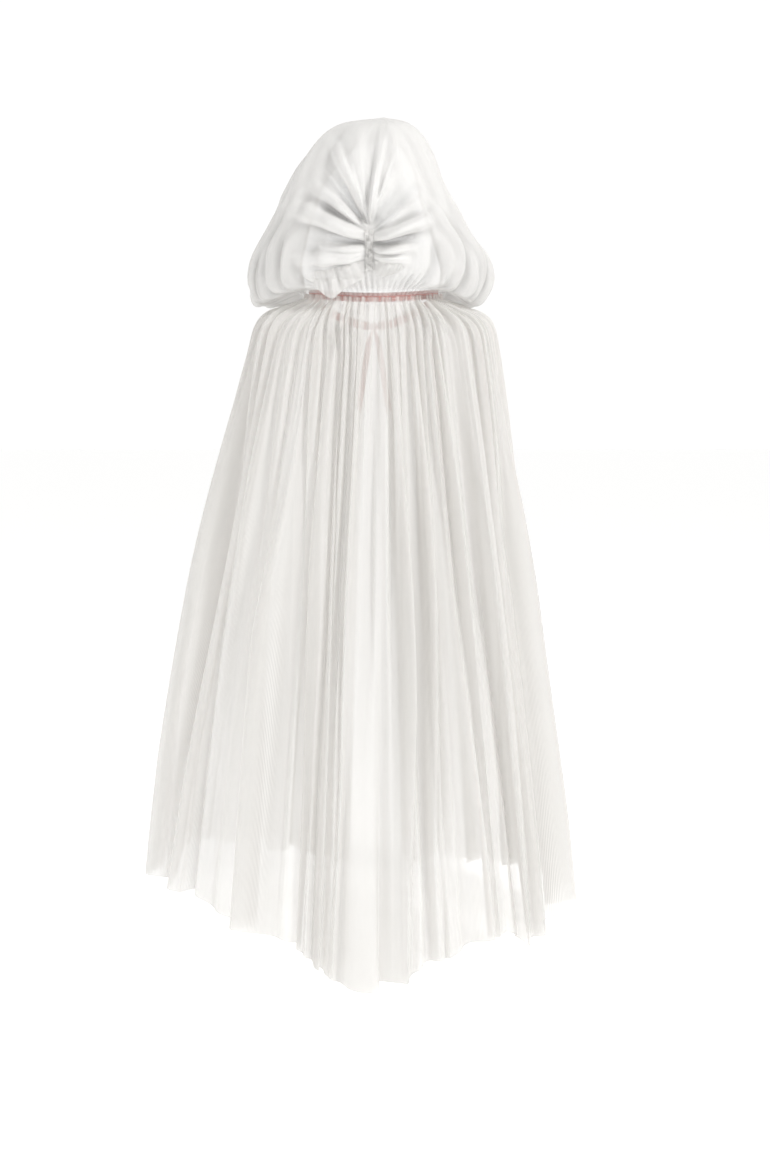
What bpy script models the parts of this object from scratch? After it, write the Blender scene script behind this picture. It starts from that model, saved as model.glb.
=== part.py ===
"""A hooded tulle cloak in its worn form.

The cape is three flared panels gathered on a ribbon neck band, open down the front. The hood is one
wide piece, ruched at the centre back, where a small tab holds the gathers and the spare cloth falls on
each side of it. The wearer faces -Y, the wearer's left is +X, and the origin is the middle of the neck
opening. Lengths are metres and angles are degrees. Round the neck, 0 is the wearer's left and 90 is the
back.
"""

import math
from bisect import bisect_right
from collections import namedtuple

import bmesh
import bpy
from mathutils import Vector

# Cloth
WALL = 0.0012
SEAM = 0.0003
RIBBON_WALL = 0.0012

# Neckline, an ellipse that dips at the back and more at the front
NECK_HALF_WIDTH = 0.125
NECK_HALF_DEPTH = 0.095
NECK_DIP_BACK = 0.012
NECK_DIP_FRONT = 0.055
NECK_GATHER = 0.0040

# Ribbon band and tie
BAND_LOW = -0.007
BAND_HIGH = 0.010
BAND_COLUMNS = 56
KNOT_HALF = Vector((0.0080, 0.0065, 0.0095))
TAIL_WIDTH = 0.012
TAIL_LENGTH = 0.165
TAIL_LEAN = 9.0
TAIL_CURL = 0.004
TAIL_ROWS = 8

# Cape
CAPE_LENGTH = 1.25
CAPE_TOP = 0.0020
Shorter = namedtuple("Shorter", "angle length")
HEM_SHORTER = (
    Shorter(-90.0, 0.060), Shorter(-40.0, 0.045), Shorter(0.0, 0.030), Shorter(28.0, 0.066),
    Shorter(50.0, 0.045), Shorter(70.0, 0.010), Shorter(90.0, -0.034), Shorter(112.0, 0.014),
    Shorter(130.0, 0.022), Shorter(150.0, -0.020), Shorter(180.0, -0.030), Shorter(220.0, 0.020),
    Shorter(270.0, 0.060),
)
CAPE_FOLDS = 54
BACK_FOLDS = 27
POINTS_PER_FOLD = 4
CAPE_ROWS = (0.0, 0.012, 0.035, 0.075, 0.125, 0.19, 0.34, 0.60, 0.92, CAPE_LENGTH)
OPENING_AT_NECK = 9.0
OPENING_AT_HEM = 14.0
EVEN_AT_NECK = 0.05
BAND_DROP = 0.006
BAND_COVER = 0.012
SHOULDER_TURN = 0.080
FLARE_ABOVE = 1.24
FLARE_AT_HEM = 0.86
STEP = 0.004

# How the cape leaves the neck in each direction, and how it flares at the hem
Fall = namedtuple("Fall", "shoulder_slope shoulder_run hem_flare")
FALLS = {
    "left": Fall(20.0, 0.065, 11.2),
    "right": Fall(20.0, 0.074, 7.0),
    "back": Fall(56.0, 0.022, 11.0),
    "front": Fall(50.0, 0.030, 7.0),
}

# Depth of the folds along the cape, either side of its mean surface
FoldDepth = namedtuple("FoldDepth", "run depth")
FOLD_DEPTHS = (
    FoldDepth(0.00, NECK_GATHER),
    FoldDepth(0.06, 0.0055),
    FoldDepth(0.20, 0.0085),
    FoldDepth(0.60, 0.0130),
    FoldDepth(CAPE_LENGTH, 0.0200),
)

# How uneven the folds are, as waves round the cape that drift as they run down it
Unevenness = namedtuple("Unevenness", "waves start drift depth_share width_share")
UNEVEN = (
    Unevenness(5, 0.8, 1.1, 0.30, 0.18),
    Unevenness(13, 2.1, -1.7, 0.28, 0.26),
    Unevenness(22, 4.0, 2.3, 0.26, 0.30),
)

# Hood, by how far each section has risen from the neckline to the crown ridge
HOOD_COLUMNS = 68
HOOD_ROWS = 22
POINTS_PER_GATHER = 3
HOOD_CENTRE = Vector((0.0, 0.0, 0.13))
HOOD_START = 0.0036
HOOD_GATHER_FADE = 0.16
CROWN_LEAN = -0.020
Section = namedtuple(
    "Section",
    "rise left right side_height back back_height front front_height edge",
)
NECK_OUT = RIBBON_WALL / 2 + 2 * SEAM + WALL / 2 + NECK_GATHER
HOOD_SECTIONS = (
    Section(
        0.00,
        NECK_HALF_WIDTH + NECK_OUT,
        NECK_HALF_WIDTH + NECK_OUT,
        HOOD_START,
        NECK_HALF_DEPTH + NECK_OUT,
        HOOD_START - NECK_DIP_BACK,
        NECK_HALF_DEPTH + NECK_OUT,
        HOOD_START - NECK_DIP_FRONT,
        81.0,
    ),
    Section(0.05, 0.154, 0.150, 0.007, 0.106, 0.008, 0.108, -0.042, 76.0),
    Section(0.15, 0.222, 0.196, -0.018, 0.124, 0.040, 0.118, -0.016, 64.0),
    Section(0.24, 0.239, 0.223, 0.016, 0.134, 0.068, 0.128, 0.010, 56.0),
    Section(0.33, 0.231, 0.220, 0.070, 0.142, 0.102, 0.138, 0.045, 51.0),
    Section(0.45, 0.198, 0.177, 0.132, 0.149, 0.146, 0.150, 0.105, 48.0),
    Section(0.60, 0.173, 0.141, 0.196, 0.150, 0.200, 0.162, 0.172, 48.0),
    Section(0.76, 0.141, 0.105, 0.264, 0.136, 0.258, 0.170, 0.238, 49.0),
    Section(0.89, 0.086, 0.060, 0.318, 0.106, 0.302, 0.172, 0.288, 50.0),
    Section(1.00, 0.000, 0.000, 0.334, 0.060, 0.322, 0.172, 0.306, 50.0),
)

# The ruching at the centre back, and the folds that run out from it. Across is towards the wearer's left.
RUCHE_ACROSS = 0.008
RUCHE_FOOT = 0.056
RUCHE_TOP = 0.108
RUCHE_PULL = 0.018
RUCHE_REACH = 0.026
FOLD_ROOT = 0.55
HoodFold = namedtuple("HoodFold", "root_up end_across end_up height half_width")
HOOD_FOLDS = (
    HoodFold(0.108, 0.090, 0.305, 0.009, 0.012),
    HoodFold(0.108, -0.022, 0.318, 0.009, 0.010),
    HoodFold(0.108, 0.082, 0.230, -0.014, 0.020),
    HoodFold(0.106, 0.130, 0.205, 0.010, 0.012),
    HoodFold(0.092, 0.170, 0.165, 0.018, 0.018),
    HoodFold(0.078, 0.130, 0.105, -0.012, 0.012),
    HoodFold(0.070, 0.110, 0.085, 0.009, 0.011),
    HoodFold(0.058, 0.160, 0.060, 0.012, 0.014),
    HoodFold(0.104, -0.085, 0.215, -0.014, 0.024),
    HoodFold(0.088, -0.125, 0.140, 0.019, 0.014),
    HoodFold(0.078, -0.110, 0.098, -0.010, 0.012),
    HoodFold(0.070, -0.090, 0.084, 0.011, 0.011),
    HoodFold(0.058, -0.080, 0.056, 0.009, 0.011),
)

# The tab round the ruching, and the spare cloth that falls below it on each side
TAB_HALF_WIDTH = 0.009
TAB_TOP = 0.110
TAB_FOOT = 0.036
TAB_ROWS = 8
TAB_CROWN = 0.005
CLEAR_OF_HOOD = 0.0036
LOWEST_ON_HOOD = 0.022
FALL_ROWS = 6
TAB_LEFT = RUCHE_ACROSS + TAB_HALF_WIDTH + 2 * SEAM
TAB_RIGHT = RUCHE_ACROSS - TAB_HALF_WIDTH - 2 * SEAM
SpareCloth = namedtuple("SpareCloth", "across top foot swell")
SPARE_CLOTH = {
    "hood_fall_left": (
        SpareCloth(TAB_LEFT, 0.054, 0.024, 0.000),
        SpareCloth(0.036, 0.050, 0.014, 0.010),
        SpareCloth(0.052, 0.045, 0.006, 0.012),
        SpareCloth(0.066, 0.042, -0.003, 0.008),
        SpareCloth(0.076, 0.040, -0.008, 0.014),
        SpareCloth(0.088, 0.038, -0.004, 0.009),
        SpareCloth(0.100, 0.036, 0.002, 0.008),
        SpareCloth(0.112, 0.035, 0.012, 0.004),
    ),
    "hood_fall_right": (
        SpareCloth(TAB_RIGHT, 0.054, 0.030, 0.000),
        SpareCloth(-0.016, 0.052, 0.026, 0.009),
        SpareCloth(-0.030, 0.050, 0.028, 0.010),
        SpareCloth(-0.044, 0.049, 0.034, 0.006),
        SpareCloth(-0.054, 0.048, 0.040, 0.003),
    ),
}

# Plain finishes, as red, green, blue, roughness
TULLE = (0.78, 0.77, 0.75, 0.75)
ROSE = (0.70, 0.30, 0.26, 0.45)


def smooth(share):
    """0 to 1 with level ends."""
    share = min(max(share, 0.0), 1.0)
    return share * share * (3.0 - 2.0 * share)


def mix(a, b, share):
    return a + (b - a) * share


def through(rows, column, at):
    """A smooth curve through one column of a table, read at a value of the table's first column."""
    keys = [row[0] for row in rows]
    i = min(max(bisect_right(keys, at) - 1, 0), len(rows) - 2)
    near = [rows[min(max(k, 0), len(rows) - 1)] for k in (i - 1, i, i + 1, i + 2)]
    x0, x1, x2, x3 = (row[0] for row in near)
    y0, y1, y2, y3 = (row[column] for row in near)
    span = x2 - x1
    start = (y2 - y0) / (x2 - x0)
    end = (y3 - y1) / (x3 - x1)
    t = (at - x1) / span
    return (
        (2 * t**3 - 3 * t**2 + 1) * y1
        + (t**3 - 2 * t**2 + t) * span * start
        + (3 * t**2 - 2 * t**3) * y2
        + (t**3 - t**2) * span * end
    )


def towards(angle):
    """How much a direction faces each side, as shares that add up to 1."""
    across, along = math.cos(math.radians(angle)), math.sin(math.radians(angle))
    return {
        "left": max(across, 0.0) ** 2,
        "right": max(-across, 0.0) ** 2,
        "back": max(along, 0.0) ** 2,
        "front": max(-along, 0.0) ** 2,
    }


def neck_normal(angle):
    """The level direction straight out from the neckline."""
    across, along = math.cos(math.radians(angle)), math.sin(math.radians(angle))
    return Vector((across / NECK_HALF_WIDTH, along / NECK_HALF_DEPTH, 0.0)).normalized()


def neck_point(angle, out=0.0, up=0.0):
    """A point on the neckline, moved out from the neck and up."""
    across, along = math.cos(math.radians(angle)), math.sin(math.radians(angle))
    dip = NECK_DIP_BACK if along > 0 else NECK_DIP_FRONT
    on_line = Vector((NECK_HALF_WIDTH * across, NECK_HALF_DEPTH * along, -dip * along**2))
    return on_line + neck_normal(angle) * out + Vector((0.0, 0.0, up))


def slope(angle, run):
    """How steeply the cape falls, below level, after a run of cloth from its top edge."""
    sides = towards(angle)
    fall = Fall(*(sum(sides[s] * FALLS[s][k] for s in FALLS) for k in range(len(Fall._fields))))
    off_band = smooth((run - BAND_DROP) / BAND_COVER)
    past_shoulder = smooth((run - fall.shoulder_run) / SHOULDER_TURN)
    flare = fall.hem_flare * mix(FLARE_ABOVE, FLARE_AT_HEM, run / CAPE_LENGTH)
    hanging = mix(fall.shoulder_slope, 90.0 - flare, past_shoulder)
    return mix(90.0, hanging, off_band)


def fall_line(angle):
    """(reach out, drop, slope) of the cape at each row, found by walking down the cloth."""
    found = []
    reach = drop = run = 0.0
    length = 1.0 - through(HEM_SHORTER, 1, angle) / CAPE_LENGTH
    for row in (row * length for row in CAPE_ROWS):
        while run < row - 1e-9:
            step = min(STEP, row - run)
            steep = math.radians(slope(angle, run + step / 2))
            reach += math.cos(steep) * step
            drop += math.sin(steep) * step
            run += step
        found.append((reach, drop, slope(angle, row)))
    return found


def fold_wave(round_cape):
    """Flat-topped folds from -1 to 1. Both front edges are in the middle of an outer fold."""
    number = round_cape * CAPE_FOLDS + 0.25
    return min(max(math.sqrt(2.0) * math.sin(math.tau * number), -1.0), 1.0)


def uneven_depth(round_cape, run):
    """How deep the folds are here, 1 on average."""
    return 1.0 + sum(
        u.depth_share * math.sin(math.tau * u.waves * round_cape + u.start + u.drift * run)
        for u in UNEVEN
    )


def uneven_place(round_cape):
    """The way round the cape, moved so that some folds are wider than others."""
    moved = round_cape
    for u in UNEVEN:
        turns = math.tau * u.waves
        moved += u.width_share * (math.cos(turns * round_cape + u.start) - math.cos(u.start)) / turns
    return moved


def cape_angle(round_cape, run):
    """The direction of a point, from the left front edge round the back to the right front edge."""
    opening = mix(OPENING_AT_NECK, OPENING_AT_HEM, smooth(run / CAPE_LENGTH))
    return -90.0 + opening + (360.0 - 2.0 * opening) * uneven_place(round_cape)


def cape_point(round_cape, run, line):
    """A point of the cape, from its fall line: reach out, drop and slope."""
    reach, drop, steep = line
    angle = cape_angle(round_cape, run)
    uneven = mix(1.0, uneven_depth(round_cape, run), smooth(run / EVEN_AT_NECK))
    depth = through(FOLD_DEPTHS, 1, run) * fold_wave(round_cape) * uneven
    facing = math.radians(steep)
    outward = neck_normal(angle) * math.sin(facing) + Vector((0.0, 0.0, math.cos(facing)))
    start = neck_point(angle, NECK_OUT, CAPE_TOP)
    return start + neck_normal(angle) * reach - Vector((0.0, 0.0, drop)) + outward * depth


def seam_back(row, end, inner):
    """Moves the end point of a row back from its seam by half the gap."""
    row[end] += (row[inner] - row[end]).normalized() * SEAM / 2


def cape_grid(first, last):
    """Rows of points of the cape between two shares of the way round it."""
    columns = CAPE_FOLDS * POINTS_PER_FOLD
    regular = [(column - 0.5) / columns for column in range(1, columns + 1)]
    places = [first] + [place for place in regular if first < place < last] + [last]
    grid = [[] for _ in CAPE_ROWS]
    for place in places:
        lines = fall_line(cape_angle(place, CAPE_LENGTH / 2))
        for row, run, line in zip(grid, CAPE_ROWS, lines):
            row.append(cape_point(place, run, line))
    for row in grid:
        if first > 0.0:
            seam_back(row, 0, 1)
        if last < 1.0:
            seam_back(row, -1, -2)
    return grid


def hood_base(angle, rise):
    """A point of the hood before its folds, by direction and by how far it has risen."""
    left, right, side_height, back, back_height, front, front_height = (
        through(HOOD_SECTIONS, column, rise) for column in range(1, 8)
    )
    across, along = math.cos(math.radians(angle)), math.sin(math.radians(angle))
    width = left if across > 0 else right
    depth, height = (back, back_height) if along > 0 else (front, front_height)
    lean = CROWN_LEAN * smooth((rise - 0.5) / 0.5)
    return Vector(
        (width * across + lean, depth * along, side_height * across**2 + height * along**2)
    )


def ruching(across, up):
    """How far the ruching and its folds move a point of the hood's back out from the head."""
    above = max(up - RUCHE_TOP, RUCHE_FOOT - up, 0.0)
    away = math.hypot(across - RUCHE_ACROSS, above)
    moved = -RUCHE_PULL * math.exp(-((away / RUCHE_REACH) ** 2))
    for fold in HOOD_FOLDS:
        run = Vector((fold.end_across - RUCHE_ACROSS, fold.end_up - fold.root_up))
        here = Vector((across - RUCHE_ACROSS, up - fold.root_up))
        along = here.dot(run) / run.length_squared
        aside = abs(here.x * run.y - here.y * run.x) / run.length
        width = fold.half_width * mix(FOLD_ROOT, 1.0, smooth(along))
        swell = smooth(along / 0.25) * (1.0 - smooth((along - 0.35) / 0.65))
        moved += fold.height * swell * math.exp(-((aside / width) ** 2))
    return moved


def hood_point(angle, rise):
    """A point of the hood with its ruching, and the direction out from the head there."""
    point = hood_base(angle, rise)
    outward = (point - HOOD_CENTRE).normalized()
    fade = smooth(rise / 0.08) * (1.0 - smooth((rise - 0.86) / 0.14)) * smooth(point.y / 0.06)
    return point + outward * ruching(point.x, point.z) * fade, outward


def hood_grid():
    """Rows of points of the hood, from the left face edge round the back to the right one."""
    grid = []
    for row in range(HOOD_ROWS + 1):
        share = row / HOOD_ROWS
        rise = share * (0.7 + 0.3 * share**2)
        edge = through(HOOD_SECTIONS, 8, rise)
        off_band = smooth(rise / HOOD_GATHER_FADE)
        points = []
        for column in range(HOOD_COLUMNS + 1):
            aside = 1.0 - 2.0 * column / HOOD_COLUMNS
            angle = 90.0 - (90.0 + edge) * aside * (0.58 + 0.42 * aside**2)
            point, outward = hood_point(angle, rise)
            wave = math.sin(math.tau * (column + 0.25) / POINTS_PER_GATHER)
            gather = NECK_GATHER * wave * (1.0 - off_band)
            points.append(point + mix(neck_normal(angle), outward, off_band) * gather)
        grid.append(points)
    return grid


def on_hood_back(across, up, out):
    """A point on the back of the hood, moved out from it, found by its place as seen from behind."""
    low, high = 0.0, 0.9
    for _ in range(24):
        rise = (low + high) / 2
        width = through(HOOD_SECTIONS, 1 if across > 0 else 2, rise)
        angle = math.degrees(math.acos(min(max(across / width, -1.0), 1.0)))
        if hood_base(angle, rise).z < max(up, LOWEST_ON_HOOD):
            low = rise
        else:
            high = rise
    point, outward = hood_point(angle, rise)
    point += outward * out
    return Vector((across, point.y, up))


def tab_grid():
    """Rows of points of the tab, over the ruching."""
    grid = []
    for row in range(TAB_ROWS + 1):
        up = mix(TAB_TOP, TAB_FOOT, row / TAB_ROWS)
        swell = TAB_CROWN * math.sin(math.pi * row / TAB_ROWS)
        points = []
        for side in (-1.0, -0.5, 0.0, 0.5, 1.0):
            out = CLEAR_OF_HOOD + swell * (1.0 - side**2)
            points.append(on_hood_back(RUCHE_ACROSS - side * TAB_HALF_WIDTH, up, out))
        grid.append(points)
    return grid


def spare_grid(stations):
    """Rows of points of the spare cloth below the tab, swelling out and hanging clear of the hood."""
    grid = []
    for row in range(FALL_ROWS + 1):
        share = row / FALL_ROWS
        bulge = math.sin(math.pi * (0.15 + 0.75 * share))
        grid.append(
            [
                on_hood_back(s.across, mix(s.top, s.foot, share), CLEAR_OF_HOOD + s.swell * bulge)
                for s in stations
            ]
        )
    return grid


def band_grid():
    """Two rows of points of the ribbon band, which ends either side of the knot."""
    end = math.degrees(math.asin((KNOT_HALF.x + SEAM) / NECK_HALF_WIDTH))
    angles = [mix(-90.0 + end, 270.0 - end, k / BAND_COLUMNS) for k in range(BAND_COLUMNS + 1)]
    return [[neck_point(angle, 0.0, up) for angle in angles] for up in (BAND_LOW, BAND_HIGH)]


def finish(name, colour):
    """A plain material."""
    material = bpy.data.materials.new(name)
    material.use_nodes = True
    shader = material.node_tree.nodes["Principled BSDF"]
    shader.inputs["Base Color"].default_value = (*colour[:3], 1.0)
    shader.inputs["Roughness"].default_value = colour[3]
    shader.inputs["Metallic"].default_value = 0.0
    return material


def link(name, bm, material, parts):
    """A new object in the parts collection, from a bmesh."""
    mesh = bpy.data.meshes.new(name)
    bm.to_mesh(mesh)
    bm.free()
    mesh.shade_smooth()
    mesh.materials.append(material)
    made = bpy.data.objects.new(name, mesh)
    parts.objects.link(made)
    return made


def cloth(name, grid, wall, material, parts, closed_ridge=False):
    """A wall of cloth on a grid of points. A closed ridge joins the last row's two halves."""
    rows, columns = len(grid), len(grid[0])
    bm = bmesh.new()
    bmesh.ops.create_grid(bm, x_segments=columns - 1, y_segments=rows - 1, size=0.5)
    for vertex in bm.verts:
        column = round((vertex.co.x + 0.5) * (columns - 1))
        row = round((vertex.co.y + 0.5) * (rows - 1))
        vertex.co = grid[row][column]
    if closed_ridge:
        bmesh.ops.remove_doubles(bm, verts=bm.verts, dist=1e-5)
    made = link(name, bm, material, parts)
    thick = made.modifiers.new("Wall", "SOLIDIFY")
    thick.thickness = wall
    thick.offset = 0.0
    thick.use_even_offset = True
    thick.use_quality_normals = True
    return made


def tie(parts, material):
    """The knot in front and its two hanging ends."""
    centre = neck_point(-90.0)
    bm = bmesh.new()
    bmesh.ops.create_uvsphere(bm, u_segments=14, v_segments=9, radius=1.0)
    bmesh.ops.scale(bm, vec=KNOT_HALF, verts=bm.verts)
    bmesh.ops.translate(bm, vec=centre, verts=bm.verts)
    link("tie_knot", bm, material, parts)
    for name, side in (("tie_end_left", 1.0), ("tie_end_right", -1.0)):
        grid = []
        for row in range(TAIL_ROWS + 1):
            share = row / TAIL_ROWS
            drop = KNOT_HALF.z + SEAM + share * TAIL_LENGTH
            width = mix(0.5, 1.0, smooth(share / 0.15)) * TAIL_WIDTH
            inner = SEAM + math.sin(math.radians(TAIL_LEAN)) * share * TAIL_LENGTH
            curl = TAIL_CURL * math.sin(5.0 * share)
            grid.append(
                [centre + Vector((side * (inner + x * width), curl, -drop)) for x in (0.0, 0.5, 1.0)]
            )
        cloth(name, grid, RIBBON_WALL, material, parts)


def main():
    for old in list(bpy.data.objects):
        bpy.data.objects.remove(old)
    parts = bpy.data.collections.new("hooded_cloak")
    bpy.context.scene.collection.children.link(parts)
    tulle = finish("tulle", TULLE)
    rose = finish("rose ribbon", ROSE)

    seam = (CAPE_FOLDS - BACK_FOLDS) / 2 / CAPE_FOLDS
    cloth("cape_left_front", cape_grid(0.0, seam), WALL, tulle, parts)
    cloth("cape_back", cape_grid(seam, 1.0 - seam), WALL, tulle, parts)
    cloth("cape_right_front", cape_grid(1.0 - seam, 1.0), WALL, tulle, parts)
    cloth("hood", hood_grid(), WALL, tulle, parts, closed_ridge=True)
    cloth("hood_tab", tab_grid(), WALL, tulle, parts)
    for name, stations in SPARE_CLOTH.items():
        cloth(name, spare_grid(stations), WALL, tulle, parts)
    cloth("neck_band", band_grid(), RIBBON_WALL, rose, parts)
    tie(parts, rose)


main()
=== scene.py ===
"""The looks of a hooded tulle cloak in its worn form, seen from behind.

The cape and hood are single sheets of ivory net with every gather modelled, on a rose ribbon band.
The cloak opens towards -Y, its left side is +X, and the origin is the middle of the neck opening.
Lengths are metres and angles are degrees. Round the neck, 0 is the left side and 90 is the back.
A run is a length of cloth down from the band, and a rise is a share of the way up the hood.
"""

import math
from collections import namedtuple
from contextlib import contextmanager

import bmesh
import bpy
import numpy as np
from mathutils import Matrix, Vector


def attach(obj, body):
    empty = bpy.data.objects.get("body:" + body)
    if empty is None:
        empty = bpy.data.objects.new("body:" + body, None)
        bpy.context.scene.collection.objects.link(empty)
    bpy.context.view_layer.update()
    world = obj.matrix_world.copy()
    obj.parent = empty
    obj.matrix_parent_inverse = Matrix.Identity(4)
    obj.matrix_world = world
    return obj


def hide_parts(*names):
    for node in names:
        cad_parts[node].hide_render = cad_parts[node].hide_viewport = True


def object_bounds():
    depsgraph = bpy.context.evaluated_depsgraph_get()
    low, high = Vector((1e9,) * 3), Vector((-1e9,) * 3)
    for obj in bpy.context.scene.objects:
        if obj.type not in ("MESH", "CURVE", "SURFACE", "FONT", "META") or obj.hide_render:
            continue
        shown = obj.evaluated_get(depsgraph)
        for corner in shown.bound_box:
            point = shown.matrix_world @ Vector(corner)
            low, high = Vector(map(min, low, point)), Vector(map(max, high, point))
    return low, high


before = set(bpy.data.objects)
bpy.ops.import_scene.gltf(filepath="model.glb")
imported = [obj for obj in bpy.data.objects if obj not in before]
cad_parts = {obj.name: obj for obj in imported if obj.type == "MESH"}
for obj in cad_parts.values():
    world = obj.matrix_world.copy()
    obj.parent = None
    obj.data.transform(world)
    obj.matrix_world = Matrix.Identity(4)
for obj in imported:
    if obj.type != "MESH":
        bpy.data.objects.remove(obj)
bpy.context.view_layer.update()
BACKWARD, FORWARD = (0.0, 1.0, 0.0), (0.0, -1.0, 0.0)


def table(kind, *rows):
    """A table of rows with named values."""
    return [kind(*row) for row in rows]


# Neckline, band and tie, as in the frame
SEAM = 0.0003
NECK_HALF_WIDTH = 0.125
NECK_HALF_DEPTH = 0.095
NECK_DIP_BACK = 0.012
NECK_DIP_FRONT = 0.055
NECK_GATHER = 0.0040
NECK_OUT = 0.0058
BAND_LOW = -0.007
BAND_HIGH = 0.010
KNOT_HALF = Vector((0.0080, 0.0065, 0.0095))
TAIL_WIDTH = 0.012
TAIL_LENGTH = 0.165
TAIL_LEAN = 9.0

# The ribbon's looks: its walls, its crown and puckers, and the tail's notch, curl and twist
BAND_WALL = 0.0010
BAND_CROWN = 0.0004
PUCKERS = 150
PUCKER_HEIGHT = 0.00018
TAIL_WALL = 0.0008
TAIL_NOTCH = 0.010
TAIL_CURL = 0.004
TAIL_TWIST = 0.0012

# Cape, as in the frame
CAPE_LENGTH = 1.25
CAPE_TOP = 0.0020
Shorter = namedtuple("Shorter", "angle length")
HEM_SHORTER = table(
    Shorter,
    (-90.0, 0.060), (-40.0, 0.045), (0.0, 0.030), (28.0, 0.066),
    (50.0, 0.045), (70.0, 0.010), (90.0, -0.034), (112.0, 0.014),
    (130.0, 0.022), (150.0, -0.020), (180.0, -0.030), (220.0, 0.020),
    (270.0, 0.060),
)
CAPE_FOLDS = 54
BACK_FOLDS = 27
OPENING_AT_NECK = 9.0
OPENING_AT_HEM = 14.0
BAND_DROP = 0.006
BAND_COVER = 0.012
SHOULDER_TURN = 0.080
FLARE_ABOVE = 1.24
FLARE_AT_HEM = 0.86
# The cape's fall is walked in steps, past its longest run
STEP = 0.004
LONGEST_FALL = 1.35
Fall = namedtuple("Fall", "shoulder_slope shoulder_run hem_flare")
FALLS = {
    "left": Fall(20.0, 0.065, 11.2),
    "right": Fall(20.0, 0.074, 7.0),
    "back": Fall(56.0, 0.022, 11.0),
    "front": Fall(50.0, 0.030, 7.0),
}
FoldDepth = namedtuple("FoldDepth", "run depth")
FOLD_DEPTHS = table(
    FoldDepth,
    (0.00, NECK_GATHER),
    (0.06, 0.0055),
    (0.20, 0.0085),
    (0.60, 0.0130),
    (CAPE_LENGTH, 0.0200),
)
Unevenness = namedtuple("Unevenness", "waves start drift depth_share width_share")
UNEVEN = table(
    Unevenness,
    (5, 0.8, 1.1, 0.30, 0.18),
    (13, 2.1, -1.7, 0.28, 0.26),
    (22, 4.0, 2.3, 0.26, 0.30),
)
EVEN_AT_NECK = 0.05

# The cape's cloth: its grid, with rows closer by this share at the band, and its width when cut
CAPE_COLUMNS = 1900
CAPE_ROWS = 92
ROWS_AT_BAND = 0.45
CUT_WIDTH = 4.3

# Folds: where the first one starts, how square they are, and the run that sets them free
FIRST_FOLD = 0.25
FOLD_ROUNDNESS = 1.15
FREE_RUN = 0.14
# How far they hang over to one side near the band, in fold widths
OVERHANG = 0.125
MOST_OVERHANG = 0.20
OVERHANG_RUN = 0.04

# Finer gathers between the folds: waves round the whole cape, and their height along it
Ripple = namedtuple("Ripple", "waves start drift height fade_from fade_to")
RIPPLES = table(
    Ripple,
    (163, 0.3, 2.0, 0.0013, 0.02, 0.45),
    (241, 1.9, -3.0, 0.0007, 0.01, 0.30),
    (97, 4.4, 1.5, 0.0010, 0.10, 0.60),
    (31, 2.0, -2.6, 0.0070, 0.60, 3.00),
    (19, 5.1, 1.9, 0.0080, 0.80, 3.00),
)
PATCHES = 11
PATCH_SHARE = 0.4
PATCH_DRIFT = 2.0
# Folds that wander sideways, in fold widths, and flatten and deepen again as they fall
Sway = namedtuple("Sway", "waves start drift share")
WANDER = table(
    Sway,
    (3, 2.68, 0.63, 0.60),
    (8, 1.84, 0.73, 0.32),
    (13, 4.49, 1.38, 0.15),
    (22, 0.36, 2.30, 0.05),
)
# Folds that fan out or close up towards the hem, in degrees
FAN = (Sway(5, 1.0, 0.0, 2.4), Sway(9, 3.6, 0.0, 1.3))
FAN_RUN = 1.0
# Lower down the folds join in pairs, and each pair laps over to one side
JOIN_FROM = 0.03
JOIN_RUN = 0.65
PAIR_START = 0.6
FOLDS_MERGE = 0.54
MERGE_MORE = 0.40
LAP_WIDTH = 2.2
LAP_DEPTH = 0.046
LAP_SHARPNESS = 0.68
LEANS = (Sway(4, 0.3, 0.9, 0.80), Sway(7, 2.4, -1.6, 0.60), Sway(11, 1.0, 2.0, 0.45))
LAPS = (Sway(15, 0.4, 2.2, 0.45), Sway(7, 2.9, -1.4, 0.35))
SWELL = (Sway(17, 1.1, 4.5, 0.26), Sway(37, 3.9, -6.0, 0.22), Sway(11, 0.2, -8.0, 0.16))
# The hem's small rises and falls
HEM_UNEVEN = 0.005
HEM_WAVES = (Sway(9, 1.2, 0.0, 1.0), Sway(23, 0.4, 0.0, 0.7))

# How much the net hides: in one flat layer, and the most layers and turn that count
SHEER_CAPE = 0.58
SHEER_HOOD = 0.60
SHEER_FALL_WIDTH = 0.16
MOST_LAYERS = 4.0
TURNED_SHARE = 0.45
MOST_TURNED = 0.25
# Gathers bunched more or less closely all the way down, and closest at the centre back
BUNCHES = (Sway(23, 0.7, 0.5, 0.09), Sway(41, 3.1, -0.7, 0.10), Sway(67, 5.0, 0.9, 0.09))
CENTRE_FULLER = 0.75
CENTRE_REACH = 0.05
CENTRE_FROM = 0.20
CENTRE_RUN = 0.50
CENTRE_COVER = 0.88
# Thinner cloth over the band, in clumps, so that the ribbon shows in places
OVER_BAND = 0.46
OVER_BAND_RUN = 0.022
CLUMPS = 83
CLUMP_SHARE = 0.18
HOOD_FOOT_BARE = 0.03
HOOD_FOOT_RUN = 0.05
# Bunched rolls and bare windows of the hood, and the heights that make them full
ROLL_COVER = 0.95
ROLL_FULL = 0.010
RUCHE_BUNCHED = 0.8
SHADES_BACK_ONLY = 0.05
HOOD_WINDOW = 0.35
WINDOW_FULL = 0.008
# Painted shade in hollows: how many points around count, and how deep a hollow must be to get the full
# painted shade
PaintedShadeReach = namedtuple("PaintedShadeReach", "reach deep")
CAPE_PAINTED_SHADE = PaintedShadeReach(6, 0.020)
HOOD_PAINTED_SHADE = PaintedShadeReach(8, 0.009)
TAB_PAINTED_SHADE = PaintedShadeReach(3, 0.009)
FALL_PAINTED_SHADE = PaintedShadeReach(6, 0.006)

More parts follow.
